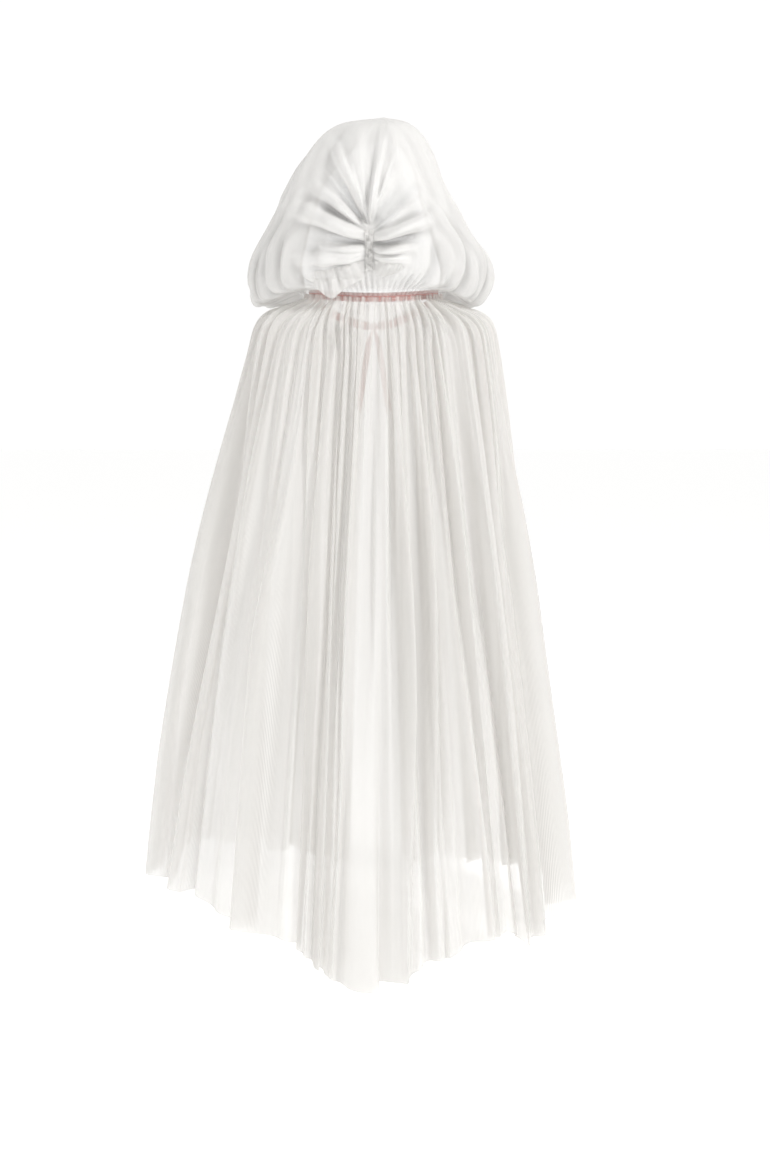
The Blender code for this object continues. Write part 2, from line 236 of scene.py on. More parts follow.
# Hood, as in the frame
HOOD_CENTRE = np.array((0.0, 0.0, 0.13))
HOOD_START = 0.0036
HOOD_GATHER_FADE = 0.16
CROWN_LEAN = -0.020
AT_SIDE, AT_END = NECK_HALF_WIDTH + NECK_OUT, NECK_HALF_DEPTH + NECK_OUT
START_BACK, START_FRONT = HOOD_START - NECK_DIP_BACK, HOOD_START - NECK_DIP_FRONT
Section = namedtuple(
    "Section", "rise left right side_height back back_height front front_height edge"
)
HOOD_SECTIONS = table(
    Section,
    (0.00, AT_SIDE, AT_SIDE, HOOD_START, AT_END, START_BACK, AT_END, START_FRONT, 81.0),
    (0.05, 0.154, 0.150, 0.007, 0.106, 0.008, 0.108, -0.042, 76.0),
    (0.15, 0.222, 0.196, -0.018, 0.124, 0.040, 0.118, -0.016, 64.0),
    (0.24, 0.239, 0.223, 0.016, 0.134, 0.068, 0.128, 0.010, 56.0),
    (0.33, 0.231, 0.220, 0.070, 0.142, 0.102, 0.138, 0.045, 51.0),
    (0.45, 0.198, 0.177, 0.132, 0.149, 0.146, 0.150, 0.105, 48.0),
    (0.60, 0.173, 0.141, 0.196, 0.150, 0.200, 0.162, 0.172, 48.0),
    (0.76, 0.141, 0.105, 0.264, 0.136, 0.258, 0.170, 0.238, 49.0),
    (0.89, 0.086, 0.060, 0.318, 0.106, 0.302, 0.172, 0.288, 50.0),
    (1.00, 0.000, 0.000, 0.334, 0.060, 0.322, 0.172, 0.306, 50.0),
)
RUCHE_ACROSS = 0.008
RUCHE_FOOT = 0.056
RUCHE_TOP = 0.108
RUCHE_PULL = 0.018
RUCHE_REACH = 0.026
FOLD_ROOT = 0.55
FOLD_SWELL = 0.25
FOLD_FADE = 0.35
FOLDS_FROM = 0.08
FOLDS_TO = 0.86
BACK_ONLY = 0.06
HoodFold = namedtuple("HoodFold", "root_up end_across end_up height half_width")
HOOD_FOLDS = table(
    HoodFold,
    (0.108, 0.090, 0.305, 0.009, 0.012),
    (0.108, -0.022, 0.318, 0.009, 0.010),
    (0.108, 0.082, 0.230, -0.014, 0.020),
    (0.106, 0.130, 0.205, 0.010, 0.012),
    (0.092, 0.170, 0.165, 0.018, 0.018),
    (0.078, 0.130, 0.105, -0.012, 0.012),
    (0.070, 0.110, 0.085, 0.009, 0.011),
    (0.058, 0.160, 0.060, 0.012, 0.014),
    (0.104, -0.085, 0.215, -0.014, 0.024),
    (0.088, -0.125, 0.140, 0.019, 0.014),
    (0.078, -0.110, 0.098, -0.010, 0.012),
    (0.070, -0.090, 0.084, 0.011, 0.011),
    (0.058, -0.080, 0.056, 0.009, 0.011),
)

# The rolls are higher and crisper in the looks, and there are smaller creases
ROLL_LIFT = 1.60
ROLL_SHARPNESS = 3.2
HOOD_CREASES = table(
    HoodFold,
    (0.108, 0.050, 0.260, 0.004, 0.0035),
    (0.107, 0.104, 0.240, 0.0045, 0.004),
    (0.100, 0.120, 0.182, -0.0045, 0.0045),
    (0.086, 0.150, 0.136, 0.005, 0.0045),
    (0.080, 0.104, 0.122, 0.004, 0.003),
    (0.074, 0.088, 0.098, -0.0035, 0.003),
    (0.062, 0.120, 0.072, 0.0045, 0.004),
    (0.108, 0.018, 0.250, -0.003, 0.004),
    (0.108, -0.004, 0.230, 0.003, 0.0035),
    (0.108, -0.046, 0.270, 0.004, 0.004),
    (0.100, -0.096, 0.176, 0.004, 0.0035),
    (0.092, -0.130, 0.160, -0.0045, 0.0045),
    (0.084, -0.120, 0.118, 0.0045, 0.0035),
    (0.074, -0.100, 0.090, -0.004, 0.003),
    (0.066, -0.072, 0.072, 0.004, 0.003),
    (0.060, -0.060, 0.062, 0.0035, 0.0028),
)
# The hood's cloth: its grid, closer at the band and the back, its gathers and its cut
HOOD_COLUMNS = 400
HOOD_ROWS = 190
ROWS_AT_FOOT = 0.7
COLUMNS_AT_BACK = 0.58
HOOD_GATHERS = 92
HOOD_GATHER_RUN = 0.224
HOOD_CUT = (0.98, 0.50)
# Billows of the loose cloth beside the ruching
Billow = namedtuple("Billow", "waves climbs start height rise_from rise_to")
BILLOWS = table(
    Billow,
    (31, 2.0, 0.6, 0.0034, 0.03, 0.42),
    (17, -3.0, 2.2, 0.0046, 0.06, 0.60),
    (9, 2.4, 4.0, 0.0040, 0.20, 0.95),
    (23, 6.0, 1.3, 0.0014, 0.20, 0.90),
)
CALM_REACH = 0.09
BILLOW_IN = 0.08
BILLOW_OUT = 0.15
# Places on the back of the hood are found by halving, below this rise
HIGHEST_RISE = 0.9
HALVINGS = 24

# Tab and spare cloth, as in the frame
TAB_HALF_WIDTH = 0.009
TAB_TOP = 0.110
TAB_FOOT = 0.036
TAB_CROWN = 0.005
TAB_WAIST = 0.22
TAB_OUT = 0.0008
TAB_COVER = 0.95
# Small creases of the tab, some along it and more across it, as the rolls push through
TabCrease = namedtuple("TabCrease", "across along start height")
TAB_CREASES = table(
    TabCrease,
    (11.0, 2.0, 0.0, 0.0006),
    (19.0, -5.0, 0.7, 0.0004),
    (1.9, 21.0, 0.6, 0.0022),
    (-2.6, 34.0, 2.0, 0.0014),
    (4.0, 13.0, 4.1, 0.0014),
)
CLEAR_OF_HOOD = 0.0036
LOWEST_ON_HOOD = 0.022
TAB_LEFT = RUCHE_ACROSS + TAB_HALF_WIDTH + 2 * SEAM
TAB_RIGHT = RUCHE_ACROSS - TAB_HALF_WIDTH - 2 * SEAM
SpareCloth = namedtuple("SpareCloth", "across top foot swell")
SPARE_CLOTH = {
    "hood_fall_left": table(
        SpareCloth,
        (TAB_LEFT, 0.054, 0.024, 0.000),
        (0.036, 0.050, 0.014, 0.010),
        (0.052, 0.045, 0.006, 0.012),
        (0.066, 0.042, -0.006, 0.007),
        (0.076, 0.040, -0.014, 0.018),
        (0.088, 0.038, -0.010, 0.008),
        (0.100, 0.036, -0.001, 0.009),
        (0.112, 0.035, 0.012, 0.004),
    ),
    "hood_fall_right": table(
        SpareCloth,
        (TAB_RIGHT, 0.054, 0.030, 0.000),
        (-0.016, 0.052, 0.026, 0.009),
        (-0.030, 0.050, 0.028, 0.010),
        (-0.044, 0.049, 0.034, 0.006),
        (-0.054, 0.048, 0.040, 0.003),
    ),
}

FALL_WRINKLE = 0.0011
FALL_CALM = 0.006

# Face hems: their ends, width, height over the hood and stitches
FACE_HEM_TURN = 3.0
FACE_HEM_FROM = 0.02
FACE_HEM_TO = 0.985
FACE_STITCHES_TO = 0.98
FACE_HEM_WIDTH = 0.007
FACE_HEM_OUT = 0.0007
FACE_HEM_COVER = 0.8
FACE_STITCH_IN = 0.0058
FACE_STITCH_OUT = 0.0010

# Stitches: from one to the next, their length and the thread's radius
Stitch = namedtuple("Stitch", "pitch length radius")
STITCHES = {
    "gathering_stitches": Stitch(0.0052, 0.0034, 0.00035),
    "band_edge_stitches": Stitch(0.0034, 0.0022, 0.00022),
    "face_hem_stitches": Stitch(0.0040, 0.0026, 0.00022),
    "tab_stitches": Stitch(0.0026, 0.0018, 0.00025),
}
NECK_LINE_POINTS = 721
STITCH_OUT = 0.0008
GATHERING_LOW = -0.002
BAND_STITCH_OUT = 0.0012
BAND_STITCH_IN = 0.002
TAB_STITCH_OUT = 0.0022
TAB_STITCH_IN = 0.003

# Net: how pale it is, how pale the painted shade in its hollows is, its streaks and crinkles, and the
# share that glows through
Net = namedtuple("Net", "name pale deep streak_size streak_share crinkle glow_share")
CAPE_NET = Net("ivory tulle", 0.90, 0.52, (16.0, 0.6, 1.0), 0.22, 0.5, 0.55)
HOOD_NET = Net("ivory hood tulle", 0.80, 0.30, (26.0, 17.0, 1.0), 0.22, 2.2, 0.18)
PALE_TINT = (1.0, 0.988, 0.969)
STREAK_TINT = (0.93, 0.918, 0.898)
PAINTED_SHADE_TINT = (1.0, 0.97, 0.94)
NET_HOLE = 0.0016
THREAD_HEIGHT = 0.06
LEAST_COVER = 0.04
MOST_COVER = 0.96
# Light passes through up to this many layers of net
NET_LAYERS = 64
# Two settings that keep shadows soft on thin folds
SHADOW_EASE = 0.30
SHADOW_LIFT = 0.50

# Camera and light
PHOTO_HEIGHT = 1155
CAMERA_DISTANCE = 2.8
CAMERA_HEIGHT = -0.209
CAMERA_DOWN = 0.1227
CAMERA_ASIDE = 0.0079
FOCAL_PIXELS = 1411.0
SENSOR_HEIGHT = 24.0
FLOOR_BELOW_HEM = 0.012
FLOOR_REACH = 30.0
FLOOR_GLOW = 0.36
# The studio is white in front of the camera and dimmer behind it, from one direction to another
WHITE_PANEL = 1.02
STUDIO_DIM = 0.43
PANEL_ENDS = -0.55
DIM_FROM = 0.20
Light = namedtuple("Light", "place target size power")
LIGHTS = {
    "key": Light((-2.3, 2.2, 2.3), (0.0, 0.1, -0.2), 0.9, 104.0),
    "fill": Light((2.8, 2.2, 0.4), (0.0, 0.0, -0.4), 2.2, 26.0),
}


def smooth(share):
    """0 to 1 with level ends."""
    share = np.clip(share, 0.0, 1.0)
    return share * share * (3.0 - 2.0 * share)


def mix(a, b, share):
    """A value between two, by a share."""
    return a + (b - a) * share


def through(rows, column, at):
    """A smooth curve through one column of a table, read at values of the table's first column."""
    keys = np.array([row[0] for row in rows])
    values = np.array([row[column] for row in rows])
    at = np.asarray(at, float)
    i = np.clip(np.searchsorted(keys, at, side="right") - 1, 0, len(rows) - 2)
    before, after = np.maximum(i - 1, 0), np.minimum(i + 2, len(rows) - 1)
    span = keys[i + 1] - keys[i]
    start = (values[i + 1] - values[before]) / (keys[i + 1] - keys[before])
    end = (values[after] - values[i]) / (keys[after] - keys[i])
    t = (at - keys[i]) / span
    return (
        (2 * t**3 - 3 * t**2 + 1) * values[i]
        + (t**3 - 2 * t**2 + t) * span * start
        + (3 * t**2 - 2 * t**3) * values[i + 1]
        + (t**3 - t**2) * span * end
    )


def stack(*parts):
    """Arrays side by side as the parts of points."""
    return np.stack(np.broadcast_arrays(*parts), axis=-1)


def unit(vectors):
    """Vectors brought to length 1."""
    return vectors / np.maximum(np.linalg.norm(vectors, axis=-1, keepdims=True), 1e-12)


def towards(angle):
    """How much a direction faces each side, as shares that add up to 1."""
    across, along = np.cos(np.radians(angle)), np.sin(np.radians(angle))
    return {
        "left": np.maximum(across, 0.0) ** 2,
        "right": np.maximum(-across, 0.0) ** 2,
        "back": np.maximum(along, 0.0) ** 2,
        "front": np.maximum(-along, 0.0) ** 2,
    }


def neck_normal(angle):
    """The level direction straight out from the neckline."""
    across, along = np.cos(np.radians(angle)), np.sin(np.radians(angle))
    return unit(stack(across / NECK_HALF_WIDTH, along / NECK_HALF_DEPTH, 0.0))


def neck_point(angle, out=0.0, up=0.0):
    """A point on the neckline, moved out from the neck and up."""
    across, along = np.cos(np.radians(angle)), np.sin(np.radians(angle))
    dip = np.where(along > 0, NECK_DIP_BACK, NECK_DIP_FRONT)
    on_line = stack(NECK_HALF_WIDTH * across, NECK_HALF_DEPTH * along, up - dip * along**2)
    return on_line + neck_normal(angle) * np.asarray(out)[..., None]


def slope(angle, run):
    """How steeply the cape falls, below level, after a run of cloth from its top edge."""
    sides = towards(angle)
    shoulder_slope, shoulder_run, hem_flare = (
        sum(sides[side] * FALLS[side][k] for side in FALLS) for k in range(len(Fall._fields))
    )
    off_band = smooth((run - BAND_DROP) / BAND_COVER)
    past_shoulder = smooth((run - shoulder_run) / SHOULDER_TURN)
    flare = hem_flare * mix(FLARE_ABOVE, FLARE_AT_HEM, run / CAPE_LENGTH)
    hanging = mix(shoulder_slope, 90.0 - flare, past_shoulder)
    return mix(90.0, hanging, off_band)


def fall_lines(angle, runs):
    """Reach out, drop and slope of the cape for each row and column, walking down the cloth."""
    steps = np.arange(math.ceil(LONGEST_FALL / STEP) + 1) * STEP
    steep = np.radians(slope(angle[None, :], steps[:-1, None] + STEP / 2))
    zero = np.zeros((1, len(angle)))
    reach = np.concatenate([zero, np.cumsum(np.cos(steep) * STEP, axis=0)])
    drop = np.concatenate([zero, np.cumsum(np.sin(steep) * STEP, axis=0)])
    length = 1.0 - through(HEM_SHORTER, 1, angle) / CAPE_LENGTH
    at = runs * length[None, :]
    found = (
        np.stack([np.interp(at[:, c], steps, walked[:, c]) for c in range(len(angle))], axis=1)
        for walked in (reach, drop)
    )
    return *found, slope(angle[None, :], at)


def uneven_depth(place, run):
    """How deep the folds are here, 1 on average."""
    return 1.0 + sum(
        u.depth_share * np.sin(math.tau * u.waves * place + u.start + u.drift * run) for u in UNEVEN
    )


def uneven_place(place):
    """The way round the cape, moved so that some folds are wider than others."""
    moved = place.copy()
    for u in UNEVEN:
        turns = math.tau * u.waves
        moved += u.width_share * (np.cos(turns * place + u.start) - math.cos(u.start)) / turns
    return moved


def waving(waves, place, run):
    """Slow waves round the cape that drift as they run down it."""
    return sum(w.share * np.sin(math.tau * w.waves * place + w.start + w.drift * run) for w in waves)


def lapped(turned):
    """A wave that climbs gently and drops back sharply, as cloth does where it laps over itself."""
    return np.arctan2(LAP_SHARPNESS * np.sin(turned), 1.0 - LAP_SHARPNESS * np.cos(turned))


def cape_surface(place, run, folded=True):
    """Points of the cape for ways round it and runs down it, both as full grids."""
    opening = mix(OPENING_AT_NECK, OPENING_AT_HEM, smooth(run / CAPE_LENGTH))
    angle = -90.0 + opening + (360.0 - 2.0 * opening) * uneven_place(place)
    middle = -90.0 + OPENING_AT_NECK + (360.0 - 2.0 * OPENING_AT_NECK) * uneven_place(place[0])
    reach, drop, steep = fall_lines(middle, run)
    number = math.tau * (place * CAPE_FOLDS + FIRST_FOLD)
    down = smooth(run / FREE_RUN)
    if folded:
        number = number + math.tau * waving(WANDER, place, run) * down
    pair = number / 2.0 + PAIR_START
    joined = smooth((run - JOIN_FROM) / JOIN_RUN)
    lean = np.clip(waving(LEANS, place, run), -1.0, 1.0) * joined
    size = 1.0 + waving(SWELL, place, run) * down
    size = size * (1.0 - joined * (FOLDS_MERGE + MERGE_MORE * (0.5 + 0.5 * np.cos(pair)) ** 2))
    if folded:
        over = np.clip(OVERHANG * (1.0 + waving(LAPS, place, run) * down), 0.0, MOST_OVERHANG)
        fold_turn = 360.0 / CAPE_FOLDS
        over = over * size * (1.0 - joined) * smooth(run / OVERHANG_RUN)
        angle = angle - over * fold_turn * np.sin(2.0 * number)
        angle = angle + waving(FAN, place, run) * smooth(run / FAN_RUN)
        angle = angle - LAP_WIDTH * np.abs(lean) * fold_turn / math.pi * lapped(pair)
    outward = (
        neck_normal(angle) * np.sin(np.radians(steep))[..., None]
        + np.array((0.0, 0.0, 1.0)) * np.cos(np.radians(steep))[..., None]
    )
    uneven = mix(1.0, uneven_depth(place, run), smooth(run / EVEN_AT_NECK))
    wave = np.tanh(FOLD_ROUNDNESS * np.sin(number)) / math.tanh(FOLD_ROUNDNESS)
    depth = through(FOLD_DEPTHS, 1, run) * wave * size * uneven - LAP_DEPTH * lean * lapped(pair)
    for ripple in RIPPLES:
        fade = 1.0 - smooth((run - ripple.fade_from) / ripple.fade_to)
        fade = smooth(run / ripple.fade_from) * fade
        patches = np.sin(math.tau * PATCHES * place + ripple.start + PATCH_DRIFT * run)
        patchy = 1.0 - PATCH_SHARE + PATCH_SHARE * patches
        turned = math.tau * ripple.waves * place + ripple.start + ripple.drift * run
        depth = depth + ripple.height * fade * patchy * np.sin(turned)
    depth = depth * (1.0 if folded else 0.0)
    start = neck_point(angle, NECK_OUT * np.ones_like(angle), CAPE_TOP)
    ragged = HEM_UNEVEN * smooth(run / CAPE_LENGTH) * waving(HEM_WAVES, place, run)
    fallen = neck_normal(angle) * reach[..., None] - stack(0.0, 0.0, drop + ragged)
    return start + fallen + outward * depth[..., None]


def normals(points):
    """The surface normal at each point of a grid, as rows by columns."""
    down, along = np.gradient(points, axis=0), np.gradient(points, axis=1)
    return unit(np.cross(down, along))


def cover(folded, plain, sheer, cut_width):
    """How much a gathered sheet hides, from what one layer hides, its fullness and its turned folds."""
    spacing = np.linalg.norm(np.gradient(folded, axis=1), axis=-1)
    fullness = cut_width / (folded.shape[1] - 1) / np.maximum(spacing, 1e-6)
    turned = np.abs(np.sum(normals(folded) * normals(plain), axis=-1))
    edge_on = 1.0 - TURNED_SHARE + TURNED_SHARE / np.maximum(turned, MOST_TURNED)
    layers = np.clip(fullness, 1.0, MOST_LAYERS) * edge_on
    return 1.0 - (1.0 - sheer) ** layers


def hollow_painted_shade(heights, size):
    """How far each point of a grid lies below the cloth around it, 0 to 1, which sets how much painted
    shade it gets.
    """
    rows, columns = heights.shape
    padded = np.pad(heights, size.reach, mode="edge")
    spots = range(2 * size.reach + 1)
    around = sum(padded[a : a + rows, b : b + columns] for a in spots for b in spots)
    return np.clip((around / len(spots) ** 2 - heights) / size.deep, 0.0, 1.0)


def hood_base(angle, rise):
    """Points of the hood before its folds, by direction and by how far they have risen."""
    left, right, side_height, back, back_height, front, front_height = (
        through(HOOD_SECTIONS, column, rise) for column in range(1, 8)
    )
    across, along = np.cos(np.radians(angle)), np.sin(np.radians(angle))
    width = np.where(across > 0, left, right)
    depth = np.where(along > 0, back, front)
    height = np.where(along > 0, back_height, front_height)
    lean = CROWN_LEAN * smooth((rise - 0.5) / 0.5)
    return stack(width * across + lean, depth * along, side_height * across**2 + height * along**2)


def fold_height(fold, across, up):
    """How far one fold from the ruching lifts the hood at a place seen from behind."""
    run_across, run_up = fold.end_across - RUCHE_ACROSS, fold.end_up - fold.root_up
    here_across, here_up = across - RUCHE_ACROSS, up - fold.root_up
    squared = run_across**2 + run_up**2
    along = (here_across * run_across + here_up * run_up) / squared
    aside = np.abs(here_across * run_up - here_up * run_across) / math.sqrt(squared)
    width = fold.half_width * mix(FOLD_ROOT, 1.0, smooth(along))
    swell = smooth(along / FOLD_SWELL) * (1.0 - smooth((along - FOLD_FADE) / (1.0 - FOLD_FADE)))
    return fold.height * swell * np.exp(-((aside / width) ** ROLL_SHARPNESS))


def from_ruche(across, up):
    """How far a place seen from behind is from the line of the ruching."""
    past_end = np.maximum(np.maximum(up - RUCHE_TOP, RUCHE_FOOT - up), 0.0)
    return np.hypot(across - RUCHE_ACROSS, past_end)


def hood_surface(angle, rise, detail=True):
    """Points of the hood with its ruching, and the directions out from its middle there."""
    points = hood_base(angle, rise)
    outward = unit(points - HOOD_CENTRE)
    across, up = points[..., 0], points[..., 2]
    away = from_ruche(across, up)
    moved = -RUCHE_PULL * np.exp(-((away / RUCHE_REACH) ** 2))
    for fold in HOOD_FOLDS:
        moved = moved + (ROLL_LIFT if detail else 1.0) * fold_height(fold, across, up)
    if detail:
        for fold in HOOD_CREASES:
            moved = moved + fold_height(fold, across, up)
    fade = smooth(rise / FOLDS_FROM) * (1.0 - smooth((rise - FOLDS_TO) / (1.0 - FOLDS_TO)))
    moved = moved * fade * smooth(points[..., 1] / BACK_ONLY)
    if detail:
        calm = 1.0 - np.exp(-((away / CALM_REACH) ** 2))
        for billow in BILLOWS:
            ending = smooth((rise - billow.rise_to + BILLOW_OUT) / BILLOW_OUT)
            here = smooth((rise - billow.rise_from) / BILLOW_IN) * (1.0 - ending)
            turned = np.radians(angle) * billow.waves + billow.climbs * math.pi * rise + billow.start
            moved = moved + billow.height * here * calm * np.sin(turned)
    return points + outward * moved[..., None], outward


def hood_grid(columns, rows):
    """A grid of points of the hood, its plain form and its ways across and up."""
    share = np.linspace(0.0, 1.0, rows + 1)[:, None]
    rise = share * mix(ROWS_AT_FOOT, 1.0, share**2) * np.ones((1, columns + 1))
    edge = through(HOOD_SECTIONS, 8, rise)
    aside = np.linspace(1.0, -1.0, columns + 1)[None, :]
    angle = 90.0 - (90.0 + edge) * aside * mix(COLUMNS_AT_BACK, 1.0, aside**2)
    points, outward = hood_surface(angle, rise)
    off_band = smooth(rise / HOOD_GATHER_FADE)
    level = unit(mix(neck_normal(angle), outward, off_band[..., None]))
    uneven = 0.7 + 0.3 * np.sin(np.radians(angle) * 13 + 1.0)
    wave = np.sin(np.radians(angle) * HOOD_GATHERS) * uneven
    gather = NECK_GATHER * wave * (1.0 - smooth(rise / HOOD_GATHER_RUN))
    return points + level * gather[..., None], hood_base(angle, rise), aside, share


def on_hood_back(across, up, out):
    """Points on the back of the hood, moved out from it, found by their place as seen from behind."""
    across, up, out = np.broadcast_arrays(across, up, out)
    low, high = np.zeros(across.shape), np.full(across.shape, HIGHEST_RISE)
    wanted = np.maximum(up, LOWEST_ON_HOOD)
    for _ in range(HALVINGS):
        rise = (low + high) / 2
        width = np.where(
            across > 0, through(HOOD_SECTIONS, 1, rise), through(HOOD_SECTIONS, 2, rise)
        )
        angle = np.degrees(np.arccos(np.clip(across / width, -1.0, 1.0)))
        below = hood_base(angle, rise)[..., 2] < wanted
        low, high = np.where(below, rise, low), np.where(below, high, rise)
    points, outward = hood_surface(angle, rise, detail=False)
    points = points + outward * out[..., None]
    return stack(across, points[..., 1], up)


def placed(name, data):
    """An object of the scene, at the origin and unturned."""
    made = bpy.data.objects.new(name, data)
    bpy.context.scene.collection.objects.link(made)
    return made


@contextmanager
def edited(mesh):
    """A mesh, open for changes."""
    bm = bmesh.new()
    bm.from_mesh(mesh)
    yield bm
    bm.to_mesh(mesh)
    bm.free()


def sheet_object(name, points, uv, dense, painted_shade, material, outside, close_last=False):
    """A single sheet of cloth on a grid, its faces turned towards the outside, keeping its cover and
    its painted shade at each point.
    """
    rows, columns = points.shape[:2]
    index = np.arange(rows * columns).reshape(rows, columns)
    quads = np.stack([index[:-1, :-1], index[1:, :-1], index[1:, 1:], index[:-1, 1:]], axis=-1)
    facing = np.sum(normals(points) * outside, axis=-1).mean()
    if facing < 0:
        quads = quads[..., ::-1]
    quads = quads.reshape(-1, 4)
    mesh = bpy.data.meshes.new(name)
    mesh.from_pydata(points.reshape(-1, 3).tolist(), [], quads.tolist())
    layer = mesh.uv_layers.new(name="cloth")
    layer.data.foreach_set("uv", uv.reshape(-1, 2)[quads.reshape(-1)].astype(np.float32).ravel())
    # The cover and the painted shade of the hollows are kept at each point for the material
    for label, amount in (("dense", dense), ("hollow_painted_shade", painted_shade)):
        amount = np.broadcast_to(amount, (rows, columns))
        shade = mesh.attributes.new(label, "FLOAT", "POINT")
        shade.data.foreach_set("value", amount.astype(np.float32).ravel())
    mesh.shade_smooth()
    mesh.materials.append(material)
    made = placed(name, mesh)
    made.cycles.shadow_terminator_offset = SHADOW_EASE
    made.cycles.shadow_terminator_geometry_offset = SHADOW_LIFT
    if close_last:
        with edited(mesh) as bm:
            bm.verts.ensure_lookup_table()
            bmesh.ops.remove_doubles(bm, verts=bm.verts[-columns:], dist=1e-5)
    return made


def cape_panel(name, first, last, material):
    """One panel of the cape."""
    columns = round((last - first) * CAPE_COLUMNS)
    place = np.linspace(first, last, columns + 1)[None, :] * np.ones((CAPE_ROWS + 1, 1))
    share = np.linspace(0.0, 1.0, CAPE_ROWS + 1)[:, None]
    run = CAPE_LENGTH * share * mix(ROWS_AT_BAND, 1.0, share) * np.ones((1, columns + 1))
    points = cape_surface(place, run)
    plain = cape_surface(place, run, folded=False)
    uv = stack(place * CUT_WIDTH, run)
    outside = unit(stack(plain[..., 0], plain[..., 1], 0.0))
    dense = cover(points, plain, SHEER_CAPE, (last - first) * CUT_WIDTH)
    dense = dense * (1.0 + waving(BUNCHES, place, run))
    fuller = np.exp(-(((place - 0.5) / CENTRE_REACH) ** 2)) * smooth((run - CENTRE_FROM) / CENTRE_RUN)
    dense = mix(dense, CENTRE_COVER, CENTRE_FULLER * fuller)
    clumps = np.sin(math.tau * CAPE_FOLDS * place) + np.sin(math.tau * CLUMPS * place + 1.0)
    dense = dense * mix(OVER_BAND + CLUMP_SHARE * clumps, 1.0, smooth(run / OVER_BAND_RUN))
    # Painted shade, darker in the hollows between the folds
    painted_shade = hollow_painted_shade(np.sum((points - plain) * outside, axis=-1), CAPE_PAINTED_SHADE)
    return sheet_object(name, points, uv, dense, painted_shade, material, outside)


def bunching(points):
    """How bunched the hood is in its folds, and how bare in its windows, 0 to 1, on the back half."""
    across, up = points[..., 0], points[..., 2]
    folds = [fold_height(fold, across, up) for fold in HOOD_FOLDS]
    bunched = sum(np.maximum(height, 0.0) for height in folds)
    bare = sum(np.maximum(-height, 0.0) for height in folds)
    near = np.exp(-((from_ruche(across, up) / RUCHE_REACH) ** 2))
    back = smooth(points[..., 1] / SHADES_BACK_ONLY)
    bunched = np.clip(bunched / ROLL_FULL + RUCHE_BUNCHED * near, 0.0, 1.0)
    return bunched * back, np.clip(bare / WINDOW_FULL, 0.0, 1.0) * back


def hood_sheet(material):
    """The hood as one sheet, closed at the crown."""
    points, plain, aside, share = hood_grid(HOOD_COLUMNS, HOOD_ROWS)
    uv = stack(aside * HOOD_CUT[0] / 2, share * HOOD_CUT[1])
    dense = cover(points, plain, SHEER_HOOD, HOOD_CUT[0])
    bunched, bare = bunching(plain)
    dense = mix(dense, ROLL_COVER, bunched) * (1.0 - HOOD_WINDOW * bare * (1.0 - bunched))
    dense = dense * mix(OVER_BAND, 1.0, smooth((share - HOOD_FOOT_BARE) / HOOD_FOOT_RUN))
    outside = unit(plain - HOOD_CENTRE)
    # Painted shade in the hood's hollows and windows between its rolls
    painted_shade = hollow_painted_shade(np.sum((points - plain) * outside, axis=-1), HOOD_PAINTED_SHADE)
    return sheet_object("hood_cloth", points, uv, dense, painted_shade, material, outside, close_last=True)


# Materials


def feed(tree, node, inputs):
    """Feeds a node's inputs from sockets or with steady values."""
    for label, value in inputs.items():
        if isinstance(value, bpy.types.NodeSocket):
            tree.links.new(value, node.inputs[label])
        else:
            node.inputs[label].default_value = value


def new_node(tree, kind, inputs, **settings):
    """A node with its settings and its inputs."""
    node = tree.nodes.new(kind)
    for name, value in settings.items():
        setattr(node, name, value)
    feed(tree, node, inputs)
    return node


def new_material(name):
    """A material with its node tree and its main shader."""
    material = bpy.data.materials.new(name)
    material.use_nodes = True
    return material, material.node_tree, material.node_tree.nodes["Principled BSDF"]


def maths(tree, operation, *values):
    """The result of a Math node fed by sockets or numbers."""
    return new_node(tree, "ShaderNodeMath", dict(enumerate(values)), operation=operation).outputs[0]


def net_pattern(tree, uv, hole):
    """A fine hexagonal net in the cloth's own coordinates: 1 on a thread, 0 in a hole."""
    waves = []
    for turn in (0.0, 60.0, 120.0):
        direction = (math.cos(math.radians(turn)), math.sin(math.radians(turn)), 0.0)
        dot = new_node(tree, "ShaderNodeVectorMath", {0: uv, 1: direction}, operation="DOT_PRODUCT")
        turned = maths(tree, "MULTIPLY", dot.outputs["Value"], math.tau / hole)
        waves.append(maths(tree, "COSINE", turned))
    total = maths(tree, "ADD", maths(tree, "ADD", waves[0], waves[1]), waves[2])
    inputs = {"Value": total, "From Min": 0.6, "From Max": -0.9}
    ranged = new_node(tree, "ShaderNodeMapRange", inputs, interpolation_type="SMOOTHSTEP")
    return ranged.outputs["Result"]


def noise(tree, vector, size):
    """Noise stretched by a size in each direction."""
    mapped = new_node(tree, "ShaderNodeMapping", {"Scale": size, "Vector": vector})
    inputs = {"Scale": 1.0, "Detail": 2.0, "Vector": mapped.outputs["Vector"]}
    return new_node(tree, "ShaderNodeTexNoise", inputs).outputs["Fac"]


def blend(tree, share, first, second):
    """A colour between two, each a socket or a plain colour."""
    inputs = {"Factor": share, "A": first, "B": second}
    return new_node(tree, "ShaderNodeMix", inputs, data_type="RGBA").outputs["Result"]


def bumped(tree, height, strength, distance):
    """The directions of a surface with small heights on it."""
    inputs = {"Strength": strength, "Distance": distance, "Height": height}
    return new_node(tree, "ShaderNodeBump", inputs).outputs["Normal"]


def cloth_map(tree):
    """The cloth's own coordinates."""
    return new_node(tree, "ShaderNodeUVMap", {}, uv_map="cloth").outputs["UV"]


def kept_value(tree, name):
    """A value that the mesh keeps at each point."""
    return new_node(tree, "ShaderNodeAttribute", {}, attribute_name=name).outputs["Fac"]


def tinted(brightness, tint):
    """A colour of a brightness, with a tint."""
    return (*(brightness * share for share in tint), 1.0)


